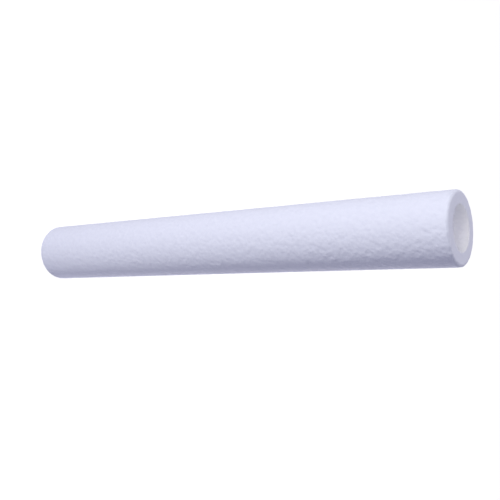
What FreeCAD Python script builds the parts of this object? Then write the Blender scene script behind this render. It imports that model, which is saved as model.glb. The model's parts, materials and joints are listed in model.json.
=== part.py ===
import FreeCAD, Part
import os
from FreeCAD import Vector
from math import cos, radians, sin

# Sediment filter cartridge: one straight tube of blown polypropylene fibre,
# square cut at both ends and open right through. It stands on its lower end,
# with the origin at the centre of that end face and +Z along the tube.

# Sizes of the tube, in millimetres
length = 508.0  # cut face to cut face
outer_diameter = 65.0
bore_diameter = 40.0

# Edges of the two cuts, in millimetres
rim_rounding = 2.5  # outer rim, where the soft skin draws in to the cut
mouth_rounding = 0.5  # mouth of the bore

outer_radius = outer_diameter / 2
bore_radius = bore_diameter / 2
wall = outer_radius - bore_radius

# A rounding takes no more than its share of the wall, so a flat ring is left
# between the rim and the mouth for the housing's sealing edge to press on.
rim = min(rim_rounding, 0.5 * wall)
mouth = min(mouth_rounding, 0.2 * wall)


def at(radius, height):
    return Vector(radius, 0, height)


def rounding(centre_radius, centre_height, size, start):
    """Quarter arc of the wall's section, turning left from the start angle in degrees."""
    turns = [radians(start + step) for step in (0, 45, 90)]
    ends = [at(centre_radius + size * cos(a), centre_height + size * sin(a)) for a in turns]
    return Part.Arc(*ends).toShape()


def wall_section():
    """Half section of the wall: a long strip with four rounded corners."""
    lower_rim = rounding(outer_radius - rim, rim, rim, -90)
    upper_rim = rounding(outer_radius - rim, length - rim, rim, 0)
    upper_mouth = rounding(bore_radius + mouth, length - mouth, mouth, 90)
    lower_mouth = rounding(bore_radius + mouth, mouth, mouth, 180)
    skin = Part.LineSegment(at(outer_radius, rim), at(outer_radius, length - rim)).toShape()
    upper_cut = Part.LineSegment(at(outer_radius - rim, length), at(bore_radius + mouth, length)).toShape()
    bore_wall = Part.LineSegment(at(bore_radius, length - mouth), at(bore_radius, mouth)).toShape()
    lower_cut = Part.LineSegment(at(bore_radius + mouth, 0), at(outer_radius - rim, 0)).toShape()
    outline = [
        lower_rim,
        skin,
        upper_rim,
        upper_cut,
        upper_mouth,
        bore_wall,
        lower_mouth,
        lower_cut,
    ]
    return Part.Face(Part.Wire(outline))


def filter_tube():
    """The wall's section turned once about the tube's axis."""
    return wall_section().revolve(Vector(0, 0, 0), Vector(0, 0, 1), 360)


pieces = {"filter_tube": filter_tube()}

os.makedirs("parts", exist_ok=True)
for name, shape in pieces.items():
    shape.exportStep("parts/" + name + ".step")
    print(name, "valid", shape.isValid(), "volume", round(shape.Volume), "mm3")
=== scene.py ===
import json
import math

import bpy
import numpy as np
from mathutils import Matrix, Vector


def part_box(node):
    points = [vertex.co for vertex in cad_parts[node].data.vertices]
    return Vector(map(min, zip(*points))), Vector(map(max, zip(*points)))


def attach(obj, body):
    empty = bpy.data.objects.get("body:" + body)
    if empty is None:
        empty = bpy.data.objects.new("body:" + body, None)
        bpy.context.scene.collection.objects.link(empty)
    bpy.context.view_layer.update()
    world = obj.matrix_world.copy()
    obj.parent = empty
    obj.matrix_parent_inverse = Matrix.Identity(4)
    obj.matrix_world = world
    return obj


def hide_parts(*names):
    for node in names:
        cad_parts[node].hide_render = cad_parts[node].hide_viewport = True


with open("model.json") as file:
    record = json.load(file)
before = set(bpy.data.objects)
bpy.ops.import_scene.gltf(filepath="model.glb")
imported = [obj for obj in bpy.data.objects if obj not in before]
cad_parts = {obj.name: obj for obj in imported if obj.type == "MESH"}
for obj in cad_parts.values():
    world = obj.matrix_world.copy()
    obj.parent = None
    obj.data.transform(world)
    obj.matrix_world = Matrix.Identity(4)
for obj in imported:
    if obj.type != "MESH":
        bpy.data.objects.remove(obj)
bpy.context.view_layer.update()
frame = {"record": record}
print("frame loaded")


# Camera: the tube stands on the floor, and the camera lies on its side to see it as the photograph does

camera = {
    "location": (0.0, -0.55649, 0.69255),
    "target": (0.00896, -0.00014, 0.29237),
    "roll": 87.031,  # degrees about the view axis
    "lens": 48.866,  # mm
    "sensor": 36.0,  # mm
    "clip": (0.01, 60.0),  # m
}


def aimed(location, target, roll=0.0):
    turn = (Vector(target) - Vector(location)).to_track_quat("-Z", "Y").to_matrix()
    return Matrix.Translation(location) @ (turn @ Matrix.Rotation(math.radians(roll), 3, "Z")).to_4x4()


def makeCamera():
    data = bpy.data.cameras.new("camera")
    data.lens = camera["lens"]
    data.sensor_width = camera["sensor"]
    data.clip_start, data.clip_end = camera["clip"]
    body = bpy.data.objects.new("camera", data)
    bpy.context.scene.collection.objects.link(body)
    body.matrix_world = aimed(camera["location"], camera["target"], camera["roll"])
    bpy.context.scene.camera = body


makeCamera()
print("camera placed")


# Node helpers

def addNode(tree, kind, x=0, y=0, **settings):
    made = tree.nodes.new(kind)
    made.location = (x, y)
    for name, value in settings.items():
        setattr(made, name, value)
    return made


def wire(tree, source, target):
    tree.links.new(source, target)


def mathNode(tree, operation, first, second=None, x=0, y=0, clamp=False):
    made = addNode(tree, "ShaderNodeMath", x, y, operation=operation, use_clamp=clamp)
    for socket, value in zip(made.inputs, (first, second)):
        if value is None:
            continue
        if isinstance(value, (int, float)):
            socket.default_value = value
        else:
            wire(tree, value, socket)
    return made.outputs[0]


def newGroup(name, inputs, outputs):
    tree = bpy.data.node_groups.new(name, "ShaderNodeTree")
    for label, kind, value in inputs:
        socket = tree.interface.new_socket(name=label, in_out="INPUT", socket_type=kind)
        if value is not None:
            socket.default_value = value
    for label, kind in outputs:
        tree.interface.new_socket(name=label, in_out="OUTPUT", socket_type=kind)
    return tree, addNode(tree, "NodeGroupInput", -1200, 0), addNode(tree, "NodeGroupOutput", 1200, 0)


# Fibre web: crossing helical streaks of blown fibre, the same all round with no seam

fibreWeb = {
    # Each layer's angle from the axis in degrees, and its streaks' length over their width
    "layers": ((31.0, 7.0), (-38.0, 9.0), (63.0, 6.0), (-70.0, 7.0)),
    "laidRadius": 0.0325,  # m, where those angles are true
    "layerShift": (37.0, 11.0, 53.0),  # streak widths between layers, so that they don't line up
    "tangle": 0.6,
    "detail": 1.5,
    "roughness": 0.55,
    "sharpness": 6.0,  # how narrow each streak's crest is
}


def makeFibreWeb():
    tree, given, result = newGroup(
        "fibreWeb",
        (
            ("Vector", "NodeSocketVector", None),
            ("Per Millimetre", "NodeSocketFloat", 1.2),
            ("Tangle", "NodeSocketFloat", fibreWeb["tangle"]),
        ),
        (("Height", "NodeSocketFloat"), ("Gaps", "NodeSocketFloat")),
    )
    place = addNode(tree, "ShaderNodeSeparateXYZ", -1000, 200)
    wire(tree, given.outputs["Vector"], place.inputs[0])
    highest = None
    for row, (angle, stretch) in enumerate(fibreWeb["layers"]):
        y = 300 - 260 * row
        lean = math.radians(angle)
        perMetre = math.tan(lean) / fibreWeb["laidRadius"]
        turn = mathNode(tree, "MULTIPLY", place.outputs["Z"], perMetre, -800, y)
        twisted = addNode(tree, "ShaderNodeVectorRotate", -620, y, rotation_type="Z_AXIS")
        wire(tree, given.outputs["Vector"], twisted.inputs["Vector"])
        wire(tree, turn, twisted.inputs["Angle"])
        drawnOut = addNode(tree, "ShaderNodeVectorMath", -440, y, operation="MULTIPLY")
        across = 1000 * math.cos(lean)
        drawnOut.inputs[1].default_value = (across, across, 1000 / stretch / math.cos(lean))
        wire(tree, twisted.outputs[0], drawnOut.inputs[0])
        shifted = addNode(tree, "ShaderNodeVectorMath", -260, y, operation="ADD")
        shifted.inputs[1].default_value = [row * shift for shift in fibreWeb["layerShift"]]
        wire(tree, drawnOut.outputs[0], shifted.inputs[0])
        streaks = addNode(tree, "ShaderNodeTexNoise", -80, y)
        streaks.inputs["Detail"].default_value = fibreWeb["detail"]
        streaks.inputs["Roughness"].default_value = fibreWeb["roughness"]
        wire(tree, shifted.outputs[0], streaks.inputs["Vector"])
        wire(tree, given.outputs["Per Millimetre"], streaks.inputs["Scale"])
        wire(tree, given.outputs["Tangle"], streaks.inputs["Distortion"])
        middle = mathNode(tree, "SUBTRACT", streaks.outputs[0], 0.5, 120, y)
        crease = mathNode(tree, "ABSOLUTE", middle, None, 280, y)
        ridge = mathNode(tree, "MULTIPLY", crease, -fibreWeb["sharpness"], 440, y)
        strand = mathNode(tree, "ADD", ridge, 1.0, 600, y, clamp=True)
        highest = strand if highest is None else mathNode(tree, "SMOOTH_MAX", highest, strand, 780, y)
    wire(tree, highest, result.inputs["Height"])
    gaps = mathNode(tree, "SUBTRACT", 1.0, highest, 980, -200, clamp=True)
    wire(tree, gaps, result.inputs["Gaps"])
    return tree


# Fused pebbles: the uneven, softly lumped surface that hot fibre leaves as it lands and fuses

fusedPebbles = {
    "octaves": 3.0,
    "octaveShare": 0.65,  # height of each finer octave against the one above it
    "distortion": 0.2,
    "bead": 0.35,  # share of round beads in the height
    "beadSoftness": 0.4,
}


def makeFusedPebbles():
    tree, given, result = newGroup(
        "fusedPebbles",
        (
            ("Vector", "NodeSocketVector", None),
            ("Size", "NodeSocketFloat", 8.0),  # mm, the largest lumps
            ("Bead Size", "NodeSocketFloat", 3.0),  # mm
        ),
        (("Height", "NodeSocketFloat"),),
    )
    lumps = addNode(tree, "ShaderNodeTexNoise", -300, 200)
    lumps.inputs["Detail"].default_value = fusedPebbles["octaves"]
    lumps.inputs["Roughness"].default_value = fusedPebbles["octaveShare"]
    lumps.inputs["Distortion"].default_value = fusedPebbles["distortion"]
    wire(tree, given.outputs["Vector"], lumps.inputs["Vector"])
    lumpScale = mathNode(tree, "DIVIDE", 1000.0, given.outputs["Size"], -600, 200)
    wire(tree, lumpScale, lumps.inputs["Scale"])
    beads = addNode(tree, "ShaderNodeTexVoronoi", -300, -200, feature="SMOOTH_F1")
    beads.inputs["Smoothness"].default_value = fusedPebbles["beadSoftness"]
    wire(tree, given.outputs["Vector"], beads.inputs["Vector"])
    beadScale = mathNode(tree, "DIVIDE", 1000.0, given.outputs["Bead Size"], -600, -200)
    wire(tree, beadScale, beads.inputs["Scale"])
    bead = mathNode(tree, "SUBTRACT", 1.0, beads.outputs["Distance"], 0, -200, clamp=True)
    share = mathNode(tree, "MULTIPLY", bead, fusedPebbles["bead"], 200, -200)
    wire(tree, mathNode(tree, "ADD", lumps.outputs[0], share, 500, 0), result.inputs["Height"])
    return tree


webGroup = makeFibreWeb()
pebbleGroup = makeFusedPebbles()
print("fibre web and pebbles ready")


# Blown tube: one closed skin over rims, cut faces and bore, with the pebbled relief of laid fibre

skinZone, cutZone, boreZone = 0, 1, 2  # in the order of the finishes

blownTube = {
    "facesRound": 168,
    "skinStep": 0.0012,  # m between rings on the outer skin
    "cutStep": 0.00085,
    "boreStep": 0.0012,  # near the mouths
    "deepBoreStep": 0.009,  # further in
    "mouthDepth": 0.030,
    "rimRounding": 0.0025,
    "rimSteps": 6,
    "mouthRounding": 0.0005,
    "mouthSteps": 3,
    "reliefGrid": (1400, 272),  # samples along the section and around
    "pebbleSize": (0.0034, 0.012),  # m, shortest and longest wave
    "pebbleFall": 1.0,  # how much the longer waves outweigh the shorter
    "pebbleDepth": 0.00010,
    "plainShare": 0.8,
    "foldedShare": 0.6,  # rounded bumps with creases between them
    "foldedMiddle": 0.8,
    "swellSize": (0.020, 0.09),
    "swellDepth": 0.00003,
    "zoneDepths": (1.0, 0.35, 0.6),  # share of the relief on the skin, the cut faces and the bore
    "sink": 0.9,  # pebble depths from the solid down to the middle of the relief
    "crownSoftness": 0.00005,  # m, how softly the highest bumps are pressed flat
    "seed": 23,
}


def tubeSizes():
    low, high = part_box("filter_tube")
    bore = next(m for m in frame["record"]["mounts"] if m["name"] == "bore")
    return (high.x - low.x) / 2, bore["dims"]["r_mm"] / 1000, high.z - low.z


def spaced(start, end, step):
    count = max(1, round(abs(end - start) / step))
    return np.linspace(start, end, count, endpoint=False)


def tubeSection(outer, bore, length):
    # Each ring's radius, height, outward normal and zone, from the lower mouth out and back down the bore
    rim, mouth = blownTube["rimRounding"], blownTube["mouthRounding"]
    rimSteps, mouthSteps = blownTube["rimSteps"], blownTube["mouthSteps"]
    rings = []

    def corner(centreR, centreZ, size, start, steps, zone):
        for turn in np.linspace(start, start + math.pi / 2, steps, endpoint=False):
            across, up = math.cos(turn), math.sin(turn)
            rings.append((centreR + size * across, centreZ + size * up, across, up, zone))

    for radius in spaced(bore + mouth, outer - rim, blownTube["cutStep"]):
        rings.append((radius, 0.0, 0.0, -1.0, cutZone))
    corner(outer - rim, rim, rim, -math.pi / 2, rimSteps, skinZone)
    for height in spaced(rim, length - rim, blownTube["skinStep"]):
        rings.append((outer, height, 1.0, 0.0, skinZone))
    corner(outer - rim, length - rim, rim, 0.0, rimSteps, skinZone)
    for radius in spaced(outer - rim, bore + mouth, blownTube["cutStep"]):
        rings.append((radius, length, 0.0, 1.0, cutZone))
    corner(bore + mouth, length - mouth, mouth, math.pi / 2, mouthSteps, boreZone)
    depth, top = blownTube["mouthDepth"], length - mouth
    for start, end, step in (
        (top, length - depth, blownTube["boreStep"]),
        (length - depth, depth, blownTube["deepBoreStep"]),
        (depth, mouth, blownTube["boreStep"]),
    ):
        for height in spaced(start, end, step):
            rings.append((bore, height, -1.0, 0.0, boreZone))
    corner(bore + mouth, mouth, mouth, math.pi, mouthSteps, boreZone)
    return np.array(rings)


def bandNoise(rng, shape, size, shortest, longest, fall=0.0):
    # Random field, periodic both ways, that holds only waves between the two lengths
    down = np.fft.fftfreq(shape[0], size[0] / shape[0])[:, None]
    across = np.fft.rfftfreq(shape[1], size[1] / shape[1])[None, :]
    waves = np.hypot(down, across)
    keep = np.exp(-((waves * shortest) ** 4)) * (1 - np.exp(-((waves * longest) ** 4)))
    keep /= np.maximum(waves * longest, 0.1) ** fall
    field = np.fft.irfft2(np.fft.rfft2(rng.standard_normal(shape)) * keep, shape)
    return field / field.std()


def reliefMaps(around, along):
    rng = np.random.default_rng(blownTube["seed"])
    shape, size = blownTube["reliefGrid"], (along, around)
    plain = bandNoise(rng, shape, size, *blownTube["pebbleSize"], blownTube["pebbleFall"])
    folded = bandNoise(rng, shape, size, *blownTube["pebbleSize"], blownTube["pebbleFall"])
    bumps = np.abs(folded) - blownTube["foldedMiddle"]
    pebbles = blownTube["plainShare"] * plain + blownTube["foldedShare"] * bumps
    swell = bandNoise(rng, shape, size, *blownTube["swellSize"])
    return pebbles / pebbles.std(), swell


def sampled(field, down, across):
    # Value of a periodic field at fractions of its height and width
    rows, cols = field.shape
    row, col = down * rows, across * cols
    rowLow, colLow = np.floor(row).astype(int), np.floor(col).astype(int)
    rowPart, colPart = row - rowLow, col - colLow

    def at(r, c):
        return field[r % rows, c % cols]

    upper = at(rowLow, colLow) * (1 - colPart) + at(rowLow, colLow + 1) * colPart
    lower = at(rowLow + 1, colLow) * (1 - colPart) + at(rowLow + 1, colLow + 1) * colPart
    return upper * (1 - rowPart) + lower * rowPart


def makeTube():
    outer, bore, length = tubeSizes()
    section = tubeSection(outer, bore, length)
    radius, height, normalR, normalZ, zone = section.T
    rings, turns = len(section), blownTube["facesRound"]
    steps = np.hypot(np.diff(radius, append=radius[0]), np.diff(height, append=height[0]))
    travelled = np.concatenate([[0.0], np.cumsum(steps)])
    total = travelled[-1]

    pebbles, swell = reliefMaps(2 * math.pi * outer, total)
    down = np.repeat(travelled[:-1, None] / total, turns, 1)
    across = np.repeat(np.arange(turns)[None, :] / turns, rings, 0)
    pebble = sampled(pebbles, down, across)
    swelling = sampled(swell, down, across)

    # The cut faces stay flat enough to seal, and the bore was formed on a smooth mandrel
    depthShare = np.choose(zone.astype(int), blownTube["zoneDepths"])[:, None]
    onSkin = (zone == skinZone)[:, None]
    lift = blownTube["pebbleDepth"] * pebble + blownTube["swellDepth"] * swelling * onSkin
    lift = depthShare * (lift - blownTube["sink"] * blownTube["pebbleDepth"])
    # Nothing stands proud of the tube
    lift = (lift - np.hypot(lift, depthShare * blownTube["crownSoftness"])) / 2
    angle = 2 * math.pi * across
    ringR = radius[:, None] + lift * normalR[:, None]
    ringZ = height[:, None] + lift * normalZ[:, None]
    points = np.stack([ringR * np.cos(angle), ringR * np.sin(angle), ringZ], -1).reshape(-1, 3)

    ring, turn = np.divmod(np.arange(rings * turns), turns)
    nextRing, nextTurn = (ring + 1) % rings, (turn + 1) % turns
    here, there = ring * turns, nextRing * turns
    quads = np.stack([here + turn, here + nextTurn, there + nextTurn, there + turn], 1)

    mesh = bpy.data.meshes.new("blownTube")
    mesh.vertices.add(len(points))
    mesh.vertices.foreach_set("co", points.astype(np.float32).ravel())
    mesh.loops.add(quads.size)
    mesh.loops.foreach_set("vertex_index", quads.astype(np.int32).ravel())
    mesh.polygons.add(len(quads))
    mesh.polygons.foreach_set("loop_start", np.arange(0, quads.size, 4, dtype=np.int32))
    nextZone = np.roll(zone, -1)
    zones = np.maximum(zone, nextZone).astype(np.int32)
    zones[(zone == cutZone) | (nextZone == cutZone)] = cutZone
    mesh.polygons.foreach_set("material_index", np.repeat(zones, turns))
    mesh.polygons.foreach_set("use_smooth", np.ones(len(quads), bool))
    mesh.update(calc_edges=True)
    relief = mesh.attributes.new("pebble", "FLOAT", "POINT")
    relief.data.foreach_set("value", pebble.astype(np.float32).ravel())
    mesh.validate()
    tube = bpy.data.objects.new("blown_tube", mesh)
    bpy.context.scene.collection.objects.link(tube)
    return tube


tube = makeTube()
print("tube built:", len(tube.data.polygons), "faces")


# Fibre finishes: one for the skin, one for the cut ends and one for the bore

fibre = {
    "refraction": 1.49,  # polypropylene
    "sheenRoughness": 0.6,
    "paintedShadeRange": (-2.0, 1.0),  # relief from full painted pit shade to full colour
    "gapShade": 0.5,  # how much of the painted pit shade shows between the strands
}

# Lump and bead sizes and all heights are in millimetres
# The pit colours are painted shade, laid into the pits of the relief and between the strands
finishes = {
    "blownSkin": {
        "colour": (0.78, 0.80, 0.94),
        "paintedPitShade": (0.755, 0.775, 0.918),
        "webPerMillimetre": 0.8,
        "webHeight": 0.03,
        "lumpSize": 10.0,
        "beadSize": 3.8,
        "lumpHeight": 0.75,
        "roughness": (0.82, 0.95),
        "sheen": 0.12,
    },
    "cutEnd": {
        "colour": (0.78, 0.80, 0.94),
        "paintedPitShade": (0.765, 0.785, 0.925),
        "webPerMillimetre": 1.1,
        "webHeight": 0.03,
        "lumpSize": 5.0,
        "beadSize": 2.0,
        "lumpHeight": 0.15,
        "roughness": (0.85, 0.97),
        "sheen": 0.08,
    },
    "boreWall": {
        "colour": (0.78, 0.81, 0.975),
        "paintedPitShade": (0.755, 0.785, 0.95),
        "webPerMillimetre": 0.7,
        "webHeight": 0.05,
        "lumpSize": 7.0,
        "beadSize": 3.0,
        "lumpHeight": 0.25,
        "roughness": (0.75, 0.92),
        "sheen": 0.05,
        "glowDepth": 0.090,  # m, how far light soaks through the fibre into the bore
    },
}


def makeFinish(name):
    look = finishes[name]
    material = bpy.data.materials.new(name)
    material.use_nodes = True
    tree = material.node_tree
    surface = tree.nodes["Principled BSDF"]
    surface.inputs["Sheen Weight"].default_value = look["sheen"]
    surface.inputs["Sheen Roughness"].default_value = fibre["sheenRoughness"]
    surface.inputs["IOR"].default_value = fibre["refraction"]
    if "glowDepth" in look:
        surface.inputs["Subsurface Weight"].default_value = 1.0
        surface.inputs["Subsurface Radius"].default_value = (1.0, 1.0, 1.0)
        surface.inputs["Subsurface Scale"].default_value = look["glowDepth"]
    place = addNode(tree, "ShaderNodeTexCoord", -1400, 0)
    web = addNode(tree, "ShaderNodeGroup", -1100, 0, node_tree=webGroup)
    web.inputs["Per Millimetre"].default_value = look["webPerMillimetre"]
    wire(tree, place.outputs["Object"], web.inputs["Vector"])

    lumps = addNode(tree, "ShaderNodeGroup", -1100, -260, node_tree=pebbleGroup)
    lumps.inputs["Size"].default_value = look["lumpSize"]
    lumps.inputs["Bead Size"].default_value = look["beadSize"]
    wire(tree, place.outputs["Object"], lumps.inputs["Vector"])

    webHeight = mathNode(tree, "MULTIPLY", web.outputs["Height"], look["webHeight"], -800, -60)
    lumpHeight = mathNode(tree, "MULTIPLY", lumps.outputs["Height"], look["lumpHeight"], -800, -240)
    heightSum = mathNode(tree, "ADD", webHeight, lumpHeight, -600, -140)
    bump = addNode(tree, "ShaderNodeBump", -300, -300)
    bump.inputs["Distance"].default_value = 0.001  # heights are in millimetres
    wire(tree, heightSum, bump.inputs["Height"])
    wire(tree, bump.outputs[0], surface.inputs["Normal"])

    # Painted shade: the base colour darkens towards the pit colour in the pits of the relief and in the
    # gaps between strands
    pebble = addNode(tree, "ShaderNodeAttribute", -1100, 300, attribute_name="pebble")
    raised = addNode(tree, "ShaderNodeMapRange", -800, 300)
    raised.inputs["From Min"].default_value = fibre["paintedShadeRange"][0]
    raised.inputs["From Max"].default_value = fibre["paintedShadeRange"][1]
    wire(tree, pebble.outputs["Fac"], raised.inputs["Value"])
    paintedGapShade = mathNode(tree, "MULTIPLY", web.outputs["Gaps"], fibre["gapShade"], -800, 120)
    unshadedShare = mathNode(tree, "SUBTRACT", raised.outputs[0], paintedGapShade, -600, 220, clamp=True)
    colour = addNode(tree, "ShaderNodeMix", -300, 200, data_type="RGBA")
    colour.inputs["A"].default_value = (*look["paintedPitShade"], 1.0)
    colour.inputs["B"].default_value = (*look["colour"], 1.0)
    wire(tree, unshadedShare, colour.inputs["Factor"])
    wire(tree, colour.outputs["Result"], surface.inputs["Base Color"])
    rough = addNode(tree, "ShaderNodeMapRange", -300, 0)
    rough.inputs["To Min"].default_value = look["roughness"][1]
    rough.inputs["To Max"].default_value = look["roughness"][0]
    wire(tree, web.outputs["Height"], rough.inputs["Value"])
    wire(tree, rough.outputs[0], surface.inputs["Roughness"])
    return material


for name in finishes:
    tube.data.materials.append(makeFinish(name))
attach(tube, "root")
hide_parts("filter_tube")
print("finishes applied")


# Floor, world and lamps: a pale floor under soft studio light

studio = {
    "floorCorners": 96,
    "floorRadius": 12.0,
    "floorGap": 0.0004,
    "floorColour": (0.70, 0.69, 0.77),
    "floorLift": 0.60,  # share of plain white that the camera sees in the floor
    "whiteStrength": 1.52,
    "skyColour": (0.286, 0.287, 0.358),
}

# Each lamp's place, what it aims at and its size in metres, its power in watts and its colour
lamps = {
    "key": {
        "place": (-1.157, -1.379, 0.80),
        "aim": (0.0, 0.0, 0.40),
        "size": 0.3,
        "power": 21.2,
        "colour": (1.0, 1.0, 0.92),
    },
    "back": {
        "place": (0.0, 0.90, 1.40),
        "aim": (0.0, 0.0, 0.508),
        "size": 0.5,
        "power": 4.6,
        "colour": (1.0, 0.95, 0.90),
    },
    "edge": {
        "place": (0.344, 0.491, 0.12),
        "aim": (0.0, 0.0, 0.15),
        "size": 0.3,
        "power": 1.4,
        "colour": (1.0, 0.95, 1.0),
    },
    "fill": {
        "place": (0.45, -0.25, 0.10),
        "aim": (0.0, 0.0, 0.06),
        "size": 0.35,
        "power": 0.14,
        "colour": (1.0, 1.0, 0.8),
    },
}


def seenDirectly(tree, x, y):
    # 1 where the ray comes from the camera, a gloss or a clear thing
    path = addNode(tree, "ShaderNodeLightPath", x, y).outputs
    either = mathNode(tree, "MAXIMUM", path["Is Camera Ray"], path["Is Glossy Ray"], x + 200, y)
    return mathNode(tree, "MAXIMUM", either, path["Is Transmission Ray"], x + 400, y)


def makeFloor():
    mesh = bpy.data.meshes.new("floor")
    turns = np.linspace(0, 2 * math.pi, studio["floorCorners"], endpoint=False)
    radius, depth = studio["floorRadius"], studio["floorGap"]
    edge = [(radius * math.cos(turn), radius * math.sin(turn), -depth) for turn in turns]
    mesh.from_pydata(edge, [], [list(range(len(edge)))])
    floor = bpy.data.objects.new("floor", mesh)
    bpy.context.scene.collection.objects.link(floor)
    material = bpy.data.materials.new("paleFloor")
    material.use_nodes = True
    tree = material.node_tree
    surface = tree.nodes["Principled BSDF"]
    surface.inputs["Base Color"].default_value = (*studio["floorColour"], 1.0)
    surface.inputs["Roughness"].default_value = 1.0
    surface.inputs["Specular IOR Level"].default_value = 0.0
    white = addNode(tree, "ShaderNodeEmission", 0, -300)
    white.inputs["Strength"].default_value = studio["whiteStrength"]
    share = mathNode(tree, "MULTIPLY", seenDirectly(tree, -600, 300), studio["floorLift"], 0, 300)
    mixed = addNode(tree, "ShaderNodeMixShader", 300, 0)
    wire(tree, share, mixed.inputs[0])
    wire(tree, surface.outputs[0], mixed.inputs[1])
    wire(tree, white.outputs[0], mixed.inputs[2])
    wire(tree, mixed.outputs[0], tree.nodes["Material Output"].inputs["Surface"])
    material.cycles.emission_sampling = "NONE"  # the white lights nothing
    mesh.materials.append(material)


def makeWorld():
    world = bpy.data.worlds.new("studioWorld")
    world.use_nodes = True
    tree = world.node_tree
    sky = tree.nodes["Background"]
    sky.inputs["Color"].default_value = (*studio["skyColour"], 1.0)
    white = addNode(tree, "ShaderNodeBackground", 0, -200)
    white.inputs["Color"].default_value = (1.0, 1.0, 1.0, 1.0)
    mixed = addNode(tree, "ShaderNodeMixShader", 300, 0)
    wire(tree, seenDirectly(tree, -600, 300), mixed.inputs[0])
    wire(tree, sky.outputs[0], mixed.inputs[1])
    wire(tree, white.outputs[0], mixed.inputs[2])
    wire(tree, mixed.outputs[0], tree.nodes["World Output"].inputs["Surface"])
    bpy.context.scene.world = world


def makeLamp(name):
    given = lamps[name]
    data = bpy.data.lights.new(name, "AREA")
    data.shape = "DISK"
    data.size = given["size"]
    data.energy = given["power"]
    data.color = given["colour"]
    lamp = bpy.data.objects.new(name, data)
    bpy.context.scene.collection.objects.link(lamp)
    lamp.matrix_world = aimed(given["place"], given["aim"])
    lamp.visible_camera = False


makeFloor()
makeWorld()
for name in lamps:
    makeLamp(name)
bpy.context.scene.view_settings.view_transform = "Standard"
print("studio lit")
